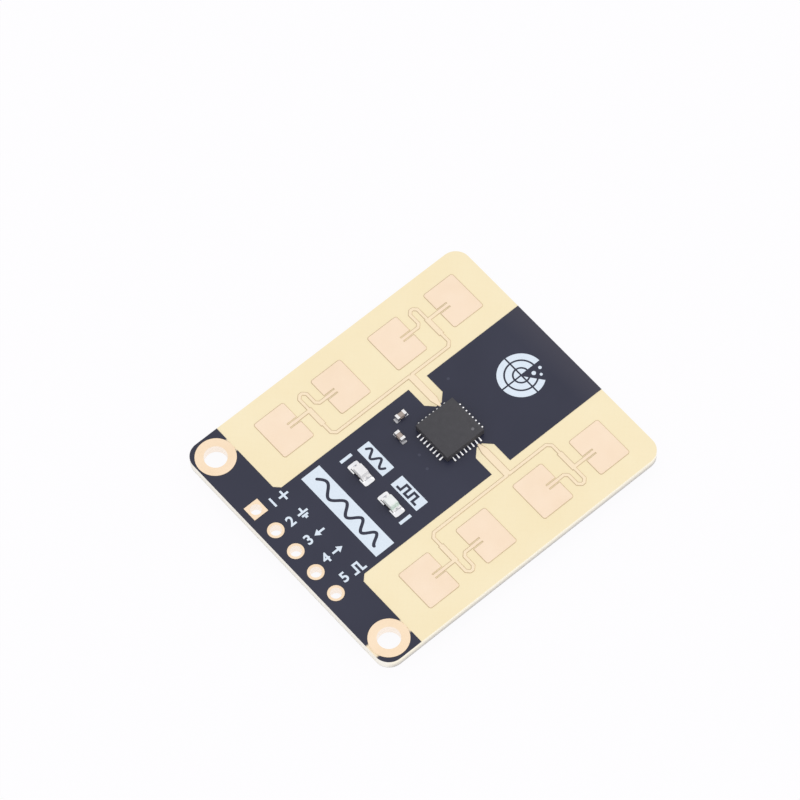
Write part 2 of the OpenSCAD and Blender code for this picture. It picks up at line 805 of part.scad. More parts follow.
module memory_body() {
    color([0.16, 0.16, 0.17]) on_back([memory_place[0], memory_place[1], 90]) difference() {
        moulded_body(memory_l, memory_w, memory_h);
        memory_lead_frame();
    }
}

module memory_leads() {
    color([0.85, 0.85, 0.84]) on_back([memory_place[0], memory_place[1], 90]) memory_lead_frame();
}

// Crystal, seated at z = 0

module crystal_outline() {
    difference() {
        square([crystal_l, crystal_w], center = true);
        for (x = [-1, 1], y = [-1, 1]) translate([x * crystal_l / 2, y * crystal_w / 2])
            circle(crystal_recess_r);
    }
}

module crystal_terminal_outline() {
    intersection() {
        crystal_outline();
        crystal_pads(0);
    }
}

module crystal_base() {
    color([0.55, 0.5, 0.45]) on_back([crystal_place[0], crystal_place[1], 0])
        translate([0, 0, crystal_pad_t]) linear_extrude(crystal_base_t) crystal_outline();
}

module crystal_terminals() {
    color([0.9, 0.75, 0.48]) on_back([crystal_place[0], crystal_place[1], 0])
        linear_extrude(crystal_pad_t) crystal_terminal_outline();
}

module crystal_lid() {
    color([0.75, 0.75, 0.74]) on_back([crystal_place[0], crystal_place[1], 0])
        translate([0, 0, crystal_pad_t + crystal_base_t]) linear_extrude(crystal_lid_t)
            round_plate(crystal_l - 2 * crystal_rim, crystal_w - 2 * crystal_rim, crystal_recess_r);
}

substrate();
solder_mask_top();
solder_mask_back();
antenna(-1);  // antenna_left
antenna(1);  // antenna_right
mounting_ring(-1);  // mounting_ring_left
mounting_ring(1);  // mounting_ring_right
for (i = [0:pin_count - 1])
    pin_hole(i);
copper_pads_top();
copper_pads_back();
silkscreen_top();
solder_top();
solder_back();
radar_chip_body();
radar_chip_leads();
radar_chip_pad();
for (i = [0:len(top_capacitors) - 1]) {
    on_top(top_capacitors[i]) capacitor_block();
    on_top(top_capacitors[i]) capacitor_ends();
}
on_top([-led_x, led_y, 0]) led_base();  // led_left_base
on_top([-led_x, led_y, 0]) led_terminals();  // led_left_terminals
on_top([-led_x, led_y, 0]) led_die();  // led_left_die
on_top([-led_x, led_y, 0]) led_lens();  // led_left_lens
on_top([led_x, led_y, 0]) led_base();  // led_right_base
on_top([led_x, led_y, 0]) led_terminals();  // led_right_terminals
on_top([led_x, led_y, 0]) led_die();  // led_right_die
on_top([led_x, led_y, 0]) led_lens();  // led_right_lens
regulator_body();
regulator_leads();
memory_body();
memory_leads();
crystal_base();
crystal_terminals();
crystal_lid();
on_back(tank_places[0]) tank_block();  // input_capacitor_body
on_back(tank_places[0]) tank_ends();  // input_capacitor_ends
on_back(tank_places[1]) tank_block();  // output_capacitor_body
on_back(tank_places[1]) tank_ends();  // output_capacitor_ends
for (i = [0:len(decoupling_places) - 1]) {
    on_back(decoupling_places[i]) capacitor_block();
    on_back(decoupling_places[i]) capacitor_ends();
}
for (i = [0:len(load_places) - 1]) {
    on_back(load_places[i]) capacitor_block();
    on_back(load_places[i]) capacitor_ends();
}
for (i = [0:len(resistor_places) - 1]) {
    on_back(resistor_places[i]) resistor_block();
    on_back(resistor_places[i]) resistor_ends();
}
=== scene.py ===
import json
import math

import bmesh
import bpy
from mathutils import Matrix, Vector


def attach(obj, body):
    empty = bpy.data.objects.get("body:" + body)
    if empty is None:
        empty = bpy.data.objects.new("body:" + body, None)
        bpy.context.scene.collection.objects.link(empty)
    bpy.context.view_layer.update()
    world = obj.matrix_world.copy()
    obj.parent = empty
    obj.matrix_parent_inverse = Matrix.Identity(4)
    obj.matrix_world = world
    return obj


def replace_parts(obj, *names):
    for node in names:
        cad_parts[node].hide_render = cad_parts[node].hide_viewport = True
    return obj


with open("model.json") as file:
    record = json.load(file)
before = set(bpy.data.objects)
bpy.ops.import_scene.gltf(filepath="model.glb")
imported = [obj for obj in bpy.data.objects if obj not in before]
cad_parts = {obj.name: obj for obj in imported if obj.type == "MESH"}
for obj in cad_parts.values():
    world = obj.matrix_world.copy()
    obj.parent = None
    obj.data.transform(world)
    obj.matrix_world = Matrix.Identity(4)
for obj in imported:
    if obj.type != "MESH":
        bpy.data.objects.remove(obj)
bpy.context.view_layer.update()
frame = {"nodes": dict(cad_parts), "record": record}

mm = 0.001

# Places in mm, in the frame of the CAD model
board = {
    "halfLength": 15,        # the pin edge lies at minus this on Y
    "laminateBottom": 1.165,
    "laminateTop": 2.115,
    "maskTop": 2.14,
    "copperTop": 2.15,
    "printTop": 2.16,
}


def colour(red, green, blue):        # a colour as seen on a screen, 0 to 255, as the linear values that shaders use
    def straight(value):
        value /= 255
        return value / 12.92 if value <= 0.04045 else ((value + 0.055) / 1.055) ** 2.4
    return (straight(red), straight(green), straight(blue), 1)


class Wire:        # a socket that can be written into sums
    def __init__(self, shader, socket):
        self.shader = shader
        self.socket = socket

    def __add__(self, other):
        return self.shader.maths("ADD", self, other)

    def __sub__(self, other):
        return self.shader.maths("SUBTRACT", self, other)

    def __rsub__(self, other):
        return self.shader.maths("SUBTRACT", other, self)

    def __mul__(self, other):
        return self.shader.maths("MULTIPLY", self, other)

    def __truediv__(self, other):
        return self.shader.maths("DIVIDE", self, other)

    def __rtruediv__(self, other):
        return self.shader.maths("DIVIDE", other, self)

    __radd__ = __add__
    __rmul__ = __mul__


class Shader:        # the nodes of one material or of the world
    def __init__(self, owner):
        self.owner = owner
        owner.use_nodes = True
        self.tree = owner.node_tree
        self.tree.nodes.clear()

    def node(self, kind, settings=None, inputs=None, output=0):
        made = self.tree.nodes.new("ShaderNode" + kind)
        for key, value in (settings or {}).items():
            if key == "stops":
                while len(made.color_ramp.elements) < len(value):
                    made.color_ramp.elements.new(0.5)
                for element, (place, shade) in zip(made.color_ramp.elements, value):
                    element.position, element.color = place, shade
            else:
                setattr(made, key, value)
        for key, value in (inputs or {}).items():
            if isinstance(value, Wire):
                self.tree.links.new(value.socket, made.inputs[key])
            else:
                made.inputs[key].default_value = value
        return Wire(self, made.outputs[output]) if made.outputs else None

    def maths(self, operation, *values, clamp=False):
        return self.node("Math", {"operation": operation, "use_clamp": clamp}, dict(enumerate(values)))

    def place(self):        # metres, in the frame of the CAD model
        return self.node("TexCoord", output="Object")

    def axes(self, vector):
        return [self.node("SeparateXYZ", None, {0: vector}, part) for part in range(3)]

    def grain(self, size, detail=3, roughness=0.55, stretch=(1, 1, 1), seed=0):        # size of its spots in mm
        place = self.node("VectorMath", {"operation": "MULTIPLY"}, {0: self.place(), 1: stretch})
        return self.node("TexNoise", {"noise_dimensions": "4D"},
                         {"Vector": place, "W": seed, "Scale": 1 / (size * mm), "Detail": detail,
                          "Roughness": roughness})

    def blend(self, factor, first, second):        # from the first colour to the second
        return self.node("Mix", {"data_type": "RGBA"}, {0: factor, 6: first, 7: second}, 2)

    def spread(self, value, low, high):        # a grain of 0 to 1 as a number from low to high
        return self.node("MapRange", {"clamp": True},
                         {"Value": value, "From Min": 0.3, "From Max": 0.7, "To Min": low, "To Max": high})

    def ramp(self, value, start, end):        # 0 to 1 as a place goes from start to end in mm
        return self.node("MapRange", {"clamp": True}, {"Value": value, "From Min": start * mm, "From Max": end * mm})

    def zone(self, left, right, near, far):        # 1 inside a box on the board in mm, 0 outside it
        x, y, z = self.axes(self.place())
        inside = 1
        for value, low, high in ((x, left, right), (y, near, far)):
            inside = (self.maths("GREATER_THAN", value, low * mm) * self.maths("LESS_THAN", value, high * mm)) * inside
        return inside

    def spot(self, place, radius):        # 1 in a round spot at an X and Y in mm, 0 outside it
        x, y, z = self.axes(self.place())
        reach = self.maths("SQRT", self.maths("POWER", x - place[0] * mm, 2) + self.maths("POWER", y - place[1] * mm, 2))
        return self.ramp(reach, radius * 1.15, radius * 0.85)

    def steep(self):        # 1 on walls, 0 on level faces
        normal = self.node("NewGeometry", output="Normal")
        return self.maths("LESS_THAN", self.maths("ABSOLUTE", self.axes(normal)[2]), 0.7)

    def bump(self, height, depth):        # depth in mm
        return self.node("Bump", None, {"Height": height, "Strength": 1, "Distance": depth * mm})

    def finish(self, **sockets):
        named = {key.replace("_", " "): value for key, value in sockets.items()}
        surface = self.node("BsdfPrincipled", None, named)
        self.node("OutputMaterial", None, {"Surface": surface})
        return self.owner


def newShader(name):
    return Shader(bpy.data.materials.new(name))


print("making finishes")

laminateLook = {
    "face": colour(248, 234, 198), "faceDeep": colour(245, 228, 188),
    "edge": colour(253, 250, 242), "edgeDeep": colour(246, 240, 230), "edgeLow": colour(192, 188, 184),
    "rightFaceLight": colour(255, 246, 224),
    "weavePitch": 0.62, "layerPitch": 0.19, "gap": colour(60, 57, 58),
    "slitShadeZones": ((-13, 10, -15, -11.4), (9, 13, -14.7, -11.4), (-5.1, 5.1, -12, 1.7), (-2.44, 2.44, 0.4, 5.5)),        # under the mask; the laminate in its slits is painted dark as shade
}


def laminateFinish():
    shader, look = newShader("laminate"), laminateLook
    x, y, z = shader.axes(shader.place())
    turn = 2 * math.pi / (look["weavePitch"] * mm)
    warp = shader.maths("SINE", x * turn)
    weft = shader.maths("SINE", y * turn)
    weave = warp * weft * 0.5 + 0.5
    cloud = shader.grain(4.5, seed=3)
    fleck = shader.grain(0.09, detail=2, seed=5)
    face = shader.blend(shader.spread(cloud, 0.1, 0.75) + weave * 0.12 + (fleck - 0.5) * 0.3,
                        look["face"], look["faceDeep"])
    for zone in look["slitShadeZones"]:        # painted shade: round the pads and under the parts, the laminate seen through the slits in the mask is painted dark
        face = shader.blend(shader.zone(*zone), face, look["gap"])
    layers = shader.maths("SINE", z * (2 * math.pi / (look["layerPitch"] * mm))) * 0.5 + 0.5
    strands = shader.grain(0.16, stretch=(0.35, 0.35, 2.2), seed=8)
    edge = shader.blend(layers * 0.45 + shader.spread(strands, 0, 0.5), look["edge"], look["edgeDeep"])
    low = shader.ramp(z, board["laminateTop"] - 0.2, board["laminateBottom"] + 0.1)        # darker towards the bottom of the cut edge
    # the right face is painted warmer above and much darker low down than the front: painted light and painted shade of
    # that face
    side = shader.ramp(x, 12.5, 12.9)
    edge = shader.blend(side * 0.7, edge, look["rightFaceLight"])
    edge = shader.blend(low * (0.15 + side * 0.8), edge, look["edgeLow"])
    isEdge = shader.steep()
    height = weave * 0.35 + fleck * 0.2 + isEdge * (strands * 1.4 + layers)
    return shader.finish(Base_Color=shader.blend(isEdge, face, edge),
                         Roughness=0.42 + isEdge * 0.3 + (fleck - 0.5) * 0.12,
                         Normal=shader.bump(height, 0.004))


maskLook = {
    "base": colour(41, 43, 62), "worn": colour(46, 48, 67), "via": colour(62, 64, 82), "roughness": 0.36, "sheen": 0.35,
    "onCopper": colour(64, 64, 82),
    "farSheenTone": colour(78, 74, 84), "rim": 0.35,        # a little lighter towards the far edge: painted sheen
    "vias": ((-3.87, 6.1), (-0.05, -0.35), (1.35, -0.7)),        # covered by the mask, and just seen through it
    "bare": colour(246, 228, 198), "bareRadius": 0.66,        # webs beside the rings, too thin for the mask to hold
    "bareWebs": ((11, -14.93), (11.05, -11.4), (-11, -11.37)),
}


def maskFinish(name):        # a lacquer with a soft sheen over the copper layers
    shader, look = newShader(name), maskLook
    cloud = shader.grain(6, seed=11)
    peel = shader.grain(0.22, detail=2, seed=13)
    dust = shader.grain(0.06, detail=1, seed=17)
    tone = shader.blend(shader.spread(cloud, 0, 1), look["base"], look["worn"])
    if name == "mask_on_copper":
        tone = shader.blend(0.7, tone, look["onCopper"])
    y = shader.axes(shader.place())[1]
    # painted sheen, lighter towards the far edge
    tone = shader.blend(shader.ramp(y, 12.8, 14.9) * look["rim"], tone, look["farSheenTone"])
    for via in look["vias"]:
        tone = shader.blend(shader.spot(via, 0.13), tone, look["via"])
    for web in look["bareWebs"]:
        tone = shader.blend(shader.spot(web, look["bareRadius"]), tone, look["bare"])
    return shader.finish(Base_Color=tone,
                         Roughness=look["roughness"] + (cloud - 0.5) * 0.15 + (dust - 0.5) * 0.1,
                         Specular_IOR_Level=look["sheen"],
                         Normal=shader.bump(peel * 0.8 + dust * 0.2, 0.003))


goldLook = {
    "antenna_copper": {"base": colour(250, 229, 206), "deep": colour(245, 221, 194), "wall": colour(236, 216, 182),
                       "wallMetal": 1, "roughness": 0.4, "line": colour(248, 231, 200),
                       "column": 9.2, "row": -1.085, "pitch": 6.17, "halfPatch": (2.1, 1.65)},
    # the barrel walls are painted lighter than the ring tops: painted light inside the holes
    "plated_copper": {"base": colour(252, 229, 201), "deep": colour(244, 217, 184), "wall": colour(255, 242, 228),
                      "wallMetal": 1, "roughness": 0.36},
    # the flank strip's darker tan is the etched side wall of the copper, with painted shade along its foot
    "copper_flank": {"base": colour(212, 191, 158), "deep": colour(198, 175, 140), "wall": colour(202, 181, 147),
                     "wallMetal": 1, "roughness": 0.5},
}


def goldFinish(name):        # a thin gold finish on etched copper
    shader, look = newShader(name), goldLook[name]
    cloud = shader.grain(2.4, seed=21)
    etch = shader.grain(0.045, detail=3, seed=23)
    top = shader.blend(shader.spread(cloud, 0, 0.6) + (etch - 0.5) * 0.4, look["base"], look["deep"])
    if "line" in look:        # the narrow lines take up the tint of the laminate beside them
        x, y, z = shader.axes(shader.place())
        across = shader.maths("ABSOLUTE", shader.maths("ABSOLUTE", x) - look["column"] * mm)
        along = shader.maths("ABSOLUTE", shader.maths("WRAP", y - look["row"] * mm, look["pitch"] / 2 * mm,
                                                      -look["pitch"] / 2 * mm))
        inPatch = (shader.maths("LESS_THAN", across, look["halfPatch"][0] * mm)
                   * shader.maths("LESS_THAN", along, look["halfPatch"][1] * mm))
        top = shader.blend((1 - inPatch) * 0.7, top, look["line"])
    wall = shader.steep()
    return shader.finish(Base_Color=shader.blend(wall, top, look["wall"]),
                         Metallic=1 - wall * (1 - look["wallMetal"]),
                         Roughness=look["roughness"] - wall * 0.12 + (etch - 0.5) * 0.2,
                         Normal=shader.bump(etch, 0.0012))


printLook = {"base": colour(224, 235, 247), "thin": colour(201, 213, 229)}


def printFinish():        # screened ink, a little thin in places
    shader, look = newShader("white_print"), printLook
    thin = shader.grain(0.11, detail=3, seed=31)
    cloud = shader.grain(1.3, seed=33)
    return shader.finish(Base_Color=shader.blend(shader.spread(thin, 0, 0.45) * shader.spread(cloud, 0.4, 1),
                                                 look["base"], look["thin"]),
                         Roughness=0.62 + (thin - 0.5) * 0.2,
                         Normal=shader.bump(thin, 0.004))


metalLook = {
    "solder": {"base": colour(246, 246, 248), "deep": colour(222, 223, 228), "roughness": 0.12, "size": 0.2,
               "depth": 0.008},
    # the wetted pads' tin is painted dark grey: painted shade beside the solder beads
    "wetted_pad": {"base": colour(120, 120, 124), "deep": colour(96, 96, 100), "roughness": 0.3, "size": 0.2,
                   "depth": 0.004},
    "dull_solder": {"base": colour(190, 190, 194), "deep": colour(146, 146, 151), "roughness": 0.22, "size": 0.2,
                    "depth": 0.008},
    "cut_lead": {"base": colour(128, 122, 118), "deep": colour(96, 90, 86), "roughness": 0.45, "size": 0.06,
                 "depth": 0.002},
    "end_metal": {"base": colour(248, 247, 248), "deep": colour(226, 225, 225), "roughness": 0.3, "size": 0.07,
                  "depth": 0.003},
    "tinned_lead": {"base": colour(228, 228, 226), "deep": colour(196, 195, 192), "roughness": 0.3, "size": 0.06,
                    "depth": 0.002},
    "crystal_metal": {"base": colour(214, 213, 210), "deep": colour(188, 186, 182), "roughness": 0.34, "size": 0.09,
                      "depth": 0.0015},
}


def metalFinish(name):        # tin, nickel and solder
    shader, look = newShader(name), metalLook[name]
    ripple = shader.grain(look["size"], detail=2, seed=41)
    tarnish = shader.grain(look["size"] * 5, seed=43)
    return shader.finish(Base_Color=shader.blend(shader.spread(tarnish, 0, 0.8), look["base"], look["deep"]),
                         Metallic=1.0,
                         Roughness=look["roughness"] + (ripple - 0.5) * 0.2,
                         Normal=shader.bump(ripple, look["depth"]))


mouldLook = {
    "chip_mould": {"base": colour(62, 61, 66), "deep": colour(52, 51, 56), "roughness": 0.6, "grain": 0.035,
                   "depth": 0.004, "mark": colour(120, 119, 124), "markPlace": (1.34, 4.29), "markRadius": 0.14},
    "black_mould": {"base": colour(42, 42, 45), "deep": colour(34, 34, 37), "roughness": 0.58, "grain": 0.04,
                    "depth": 0.004},
    "resistor_glaze": {"base": colour(34, 34, 37), "deep": colour(26, 26, 29), "roughness": 0.28, "grain": 0.12,
                       "depth": 0.004},
    "capacitor_ceramic": {"base": colour(176, 162, 154), "deep": colour(154, 139, 130), "roughness": 0.5,
                          "grain": 0.05, "depth": 0.003},
    "crystal_ceramic": {"base": colour(196, 186, 170), "deep": colour(176, 165, 148), "roughness": 0.55,
                        "grain": 0.05, "depth": 0.003},
    "led_base": {"base": colour(92, 86, 78), "deep": colour(74, 68, 60), "roughness": 0.5, "grain": 0.05,
                 "depth": 0.003},
    "led_die": {"base": colour(240, 226, 140), "deep": colour(220, 200, 110), "roughness": 0.3, "grain": 0.05,
                "depth": 0.001},
}


def mouldFinish(name):        # moulding compounds and fired ceramics
    shader, look = newShader(name), mouldLook[name]
    grit = shader.grain(look["grain"], detail=3, seed=51)
    cloud = shader.grain(look["grain"] * 14, seed=53)
    tone = shader.blend(shader.spread(cloud, 0, 0.6) + (grit - 0.5) * 0.9, look["base"], look["deep"])
    if "mark" in look:        # the floor of the chip's dimple is left lighter by the mould
        tone = shader.blend(shader.spot(look["markPlace"], look["markRadius"]) * shader.spread(grit, 0.5, 1),
                            tone, look["mark"])
    return shader.finish(Base_Color=tone,
                         Roughness=look["roughness"] + (grit - 0.5) * 0.2,
                         Normal=shader.bump(grit, look["depth"]))


lensLook = {
    "led_lens": {"base": colour(250, 250, 251), "deep": colour(236, 234, 236), "tint": colour(238, 234, 236)},
    "led_lens_green": {"base": colour(249, 249, 250), "deep": colour(234, 240, 237), "tint": colour(206, 230, 214)},
}


def lensFinish(name):        # clear epoxy with a milky fill
    shader, look = newShader(name), lensLook[name]
    cloud = shader.grain(0.35, seed=61)
    ripple = shader.grain(0.14, detail=2, seed=63)
    tone = shader.blend(shader.spread(cloud, 0, 1), look["base"], look["deep"])
    right = shader.ramp(shader.axes(shader.place())[0], 2.2, 2.5)        # where the die shines through the green one
    return shader.finish(Base_Color=shader.blend(right, tone, look["tint"]),
                         Roughness=0.16 + (ripple - 0.5) * 0.15,
                         Transmission_Weight=0.06, IOR=1.52,
                         Normal=shader.bump(ripple, 0.012))


finishes = {
    "laminate": laminateFinish(),
    "solder_mask": maskFinish("solder_mask"),
    "mask_on_copper": maskFinish("mask_on_copper"),
    "white_print": printFinish(),
}
for kinds, make in ((goldLook, goldFinish), (metalLook, metalFinish), (mouldLook, mouldFinish),
                    (lensLook, lensFinish)):
    for kind in kinds:
        finishes[kind] = make(kind)

slotOf = {entry["node"]: entry["material_slot"] for entry in frame["record"]["subparts"]}


def coat(piece, finish):        # gives a piece one finish
    if piece.material_slots:
        for holder in piece.material_slots:
            holder.material = finishes[finish]
    else:
        piece.data.materials.append(finishes[finish])


print("dressing the board")
for name, node in frame["nodes"].items():
    coat(node, "wetted_pad" if name.startswith("copper_pads") else slotOf[name])        # solder has wetted these pads; their tin is painted dark grey as shade beside the bright beads


def addPiece(name, mesh, slot, finish=None):
    piece = bpy.data.objects.new(name, mesh)
    bpy.context.scene.collection.objects.link(piece)
    coat(piece, finish or slot)
    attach(piece, "root")
    return piece


def joinedMesh(name):        # a node's own surface, with its triangles joined up into flat faces
    work = bmesh.new()
    work.from_mesh(frame["nodes"][name].data)
    bmesh.ops.remove_doubles(work, verts=work.verts, dist=1e-7)
    bmesh.ops.dissolve_limit(work, angle_limit=math.radians(1), verts=work.verts, edges=work.edges)
    return work


def smoothed(work, name, angle=40):
    mesh = bpy.data.meshes.new(name)
    work.to_mesh(mesh)
    work.free()
    mesh.shade_smooth()
    mesh.set_sharp_from_angle(angle=math.radians(angle))
    return mesh


def softened(name, width, finish=None, segments=2):        # a node again, with its corners rounded by a width in mm
    work = joinedMesh(name)
    corners = [edge for edge in work.edges
               if edge.is_manifold and edge.calc_face_angle(0) > math.radians(35)]
    bmesh.ops.bevel(work, geom=corners, offset=width * mm, offset_type="OFFSET", segments=segments,
                    profile=0.5, affect="EDGES", clamp_overlap=True)
    piece = addPiece(name + "_rounded", smoothed(work, name + "_rounded"), slotOf[name], finish)
    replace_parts(piece, name)
    return piece


print("rounding the parts")
softParts = {        # node names with these endings, and the width that rounds their corners, in mm
    "radar_chip_body": 0.025,
    "regulator_body": 0.05,
    "memory_body": 0.05,
    "capacitor": 0.045,
    "resistor": 0.02,
    "terminals": 0.015,
    "base": 0.012,
    "lens": 0.06,
    "lid": 0.05,
    "leads": 0.015,
}


def softWidth(name):
    if "capacitor" in name or "resistor" in name:
        return softParts["capacitor" if "capacitor" in name else "resistor"]
    for ending, width in softParts.items():
        if name.endswith(ending):
            return width
    return None


ownFinish = {        # finishes that differ from the ones of their slots
    "led_right_lens": "led_lens_green",
    "radar_chip_leads": "cut_lead",        # sawn ends, left bare
}
for name in list(frame["nodes"]):
    width = softWidth(name)
    if width:
        softened(name, width, ownFinish.get(name), 3 if name.endswith("lens") else 2)

print("flowing the solder")
joints = {        # mm: the ends of each kind of part, and how its solder climbs them
    "thin": 0.03, "rows": 10, "columns": 10,
    "topSeat": 2.18, "backSeat": 1.1,
    "chip": {"place": (0, 2.95), "half": 2, "pitch": 0.4, "count": 8, "width": 0.15, "under": 0.4, "beyond": 0.37,
             "climb": 0.01, "slope": 0.07},
    "small": {"half": 0.48, "width": 0.5, "under": 0.25, "beyond": 0.17, "climb": 0.08,
              "top": ((-3.72, 0.8, 90), (-2.3, -0.51, 0))},
    "led": {"half": 0.8, "width": 1.04, "under": 0.44, "beyond": 0.42, "climb": 0.2, "body": 0.85, "rise": 0.03,
            "top": ((-1.9, -5.07, 0), (1.9, -5.07, 0))},
}


def solderJoint(work, frameOf, shape):        # a thin layer under an end, and a domed, hollow-backed toe beyond it
    rows, columns, thin = joints["rows"], joints["columns"], joints["thin"]
    half = shape["width"] / 2
    grid = []
    for row in range(rows + 1):
        share = row / rows
        height = (shape["climb"] * (1 - math.sqrt(1 - (1 - share) ** 2)) + shape.get("slope", 0) * (1 - share)
                  + thin * math.sqrt(1 - share ** 4))
        narrow = 1 - 0.3 * max(0, (share - 0.7) / 0.3) ** 2
        line = []
        for column in range(columns + 1):
            across = 2 * column / columns - 1
            dome = (1 - abs(across) ** 2.6) ** 0.7
            line.append(work.verts.new(frameOf @ Vector((share * shape["beyond"] * mm, across * half * narrow * mm,
                                                         (height * dome - thin) * mm))))
        grid.append(line)
    for near, far in zip(grid, grid[1:]):
        for column in range(columns):
            work.faces.new((near[column], far[column], far[column + 1], near[column + 1]))
    floorRing = [line[0] for line in grid] + grid[-1][1:-1] + [line[-1] for line in reversed(grid)]
    work.faces.new(floorRing)
    work.faces.new(grid[0])
    inner, rise = shape.get("body", shape["width"]) / 2, shape.get("rise", 0)        # it slopes down beside the part
    under = [work.verts.new(frameOf @ Vector((x * mm, y * mm, z * mm)))
             for x in (-shape["under"], 0) for y, z in ((-half, -thin), (-inner, rise), (half, -thin), (inner, rise))]
    for corners in ((0, 1, 3, 2), (4, 6, 7, 5), (0, 4, 5, 1), (2, 3, 7, 6), (0, 2, 6, 4), (1, 5, 7, 3)):
        work.faces.new([under[corner] for corner in corners])


def placed(x, y, turn, seat):        # the frame of a part on the top
    return Matrix.Translation((x * mm, y * mm, seat * mm)) @ Matrix.Rotation(math.radians(turn), 4, "Z")


work = bmesh.new()
chip = joints["chip"]
for turn in range(0, 360, 90):
    for count in range(chip["count"]):
        shift = Matrix.Translation((chip["half"] * mm, (count - (chip["count"] - 1) / 2) * chip["pitch"] * mm, 0))
        solderJoint(work, placed(*chip["place"], turn, joints["topSeat"]) @ shift, chip)
heat = [work.verts.new((chip["place"][0] * mm + x * mm, chip["place"][1] * mm + y * mm, z * mm))
        for x in (-1.3, 1.3) for y in (-1.3, 1.3) for z in (joints["topSeat"] - joints["thin"], joints["topSeat"])]
for corners in ((0, 1, 3, 2), (4, 6, 7, 5), (0, 4, 5, 1), (2, 3, 7, 6), (0, 2, 6, 4), (1, 5, 7, 3)):
    work.faces.new([heat[corner] for corner in corners])


def endJoints(work, kind):
    for x, y, turn in joints[kind]["top"]:
        for half in (0, 180):
            shift = Matrix.Translation((joints[kind]["half"] * mm, 0, 0))
            solderJoint(work, placed(x, y, turn + half, joints["topSeat"]) @ shift, joints[kind])


endJoints(work, "led")
bmesh.ops.recalc_face_normals(work, faces=work.faces)
beads = addPiece("solder_beads", smoothed(work, "solder_beads", 50), "solder")
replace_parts(beads, "solder_top")
work = bmesh.new()
endJoints(work, "small")
bmesh.ops.recalc_face_normals(work, faces=work.faces)
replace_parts(addPiece("solder_beads_small", smoothed(work, "solder_beads_small", 50), "solder", "dull_solder"),
            "solder_top")

print("edging the copper")
flank = {"inside": 0.02, "outside": 0.055, "lift": 0.002, "steepest": 2.0}        # mm, and the longest miter


def outlines(name, level):        # closed outlines round a node's flat top at a height in mm
    work = joinedMesh(name)
    top = {face for face in work.faces if face.normal.z > 0.99 and abs(face.calc_center_median().z - level * mm) < 5e-6}
    following = {}
    for face in top:
        for loop in face.loops:
            if loop.link_loop_radial_next.face not in top:
                following[loop.vert] = loop.link_loop_next.vert
    found = []
    while following:
        start, corner = following.popitem()
        ring = [start]
        while corner is not start:
            ring.append(corner)
            corner = following.pop(corner)
        found.append([Vector(vert.co.xy) / mm for vert in ring])
    work.free()
    return found


def shifted(ring, distance):        # a ring moved outwards, with its miters held short
    moved = []
    for before, here, after in zip(ring[-1:] + ring[:-1], ring, ring[1:] + ring[:1]):
        into, out = (here - before).normalized(), (after - here).normalized()
        first, second = Vector((into.y, -into.x)), Vector((out.y, -out.x))
        miter = (first + second) / max(1 + first.dot(second), 0.1)
        if miter.length > flank["steepest"]:
            miter = miter.normalized() * flank["steepest"]
        moved.append(here + miter * distance)
    return moved


# a sloped strip round each copper outline: its side wall, widened, with painted shade along it
def copperFlank(name, node):
    work = bmesh.new()
    for ring in outlines(node, board["copperTop"]):
        rows = []
        for distance, height in ((-flank["inside"], board["copperTop"] + flank["lift"]),
                                 (0, board["copperTop"] - 0.006),
                                 (flank["outside"], board["laminateTop"] + flank["lift"])):
            rows.append([work.verts.new((point.x * mm, point.y * mm, height * mm))
                         for point in shifted(ring, distance)])
        count = len(ring)
        for inner, outer in zip(rows, rows[1:]):
            for index in range(count):
                after = (index + 1) % count
                work.faces.new((inner[index], outer[index], outer[after], inner[after]))
    bmesh.ops.recalc_face_normals(work, faces=work.faces)
    return addPiece(name, smoothed(work, name, 60), "antenna_copper", "copper_flank")


copperFlank("antenna_left_flank", "antenna_left")
copperFlank("antenna_right_flank", "antenna_right")

print("printing the marks")
ink = {"low": board["maskTop"], "high": board["printTop"], "steps": 48}


def alongEdge(y):        # a distance from the pin edge, as Y in mm
    return y - board["halfLength"]


def inkMesh(name, loops, depth=ink["high"] - ink["low"]):        # loops that lie inside others are left bare
    curve = bpy.data.curves.new(name, "CURVE")
    curve.dimensions, curve.fill_mode = "2D", "BOTH"
    curve.extrude = depth / 2 * mm
    for loop in loops:
        spline = curve.splines.new("POLY")
        spline.points.add(len(loop) - 1)
        for point, (x, y) in zip(spline.points, loop):
            point.co = (x * mm, y * mm, 0, 1)
        spline.use_cyclic_u = True
    return flatMesh(name, curve)


def flatMesh(name, curve):
    holder = bpy.data.objects.new(name + "_curve", curve)
    bpy.context.scene.collection.objects.link(holder)
    bpy.context.view_layer.update()
    mesh = bpy.data.meshes.new_from_object(holder.evaluated_get(bpy.context.evaluated_depsgraph_get()))
    bpy.data.objects.remove(holder)
    mesh.name = name
    return mesh


def box(x, y, width, height):
    return [(x - width / 2, y - height / 2), (x + width / 2, y - height / 2),
            (x + width / 2, y + height / 2), (x - width / 2, y + height / 2)]


def stroke(points, width, rounded=True):        # the outline of a line with a width, without crossings
    points = [Vector(point) for point in points]
    left, right = [], []
    for index, here in enumerate(points):
        into = (here - points[index - 1]).normalized() if index else None
        out = (points[index + 1] - here).normalized() if index < len(points) - 1 else None
        into, out = into or out, out or into
        first, second = Vector((-into.y, into.x)), Vector((-out.y, out.x))
        miter = (first + second) / max(1 + first.dot(second), 0.25)
        left.append(here + miter * width / 2)
        right.append(here - miter * width / 2)
    if not rounded:
        return left + right[::-1]
    turn = [math.pi * step / 8 for step in range(1, 8)]

    def cap(end, side):
        arm = side - end
        return [end + Matrix.Rotation(-angle, 2) @ arm for angle in turn]

    return left + cap(points[-1], left[-1]) + right[::-1] + cap(points[0], right[0])


title = {"x": -0.01, "y": 6.85, "width": 9.5, "height": 1.94, "line": 0.28, "reach": 0.46, "length": 7.8,
         "turns": 3.75, "quicken": 0.32}


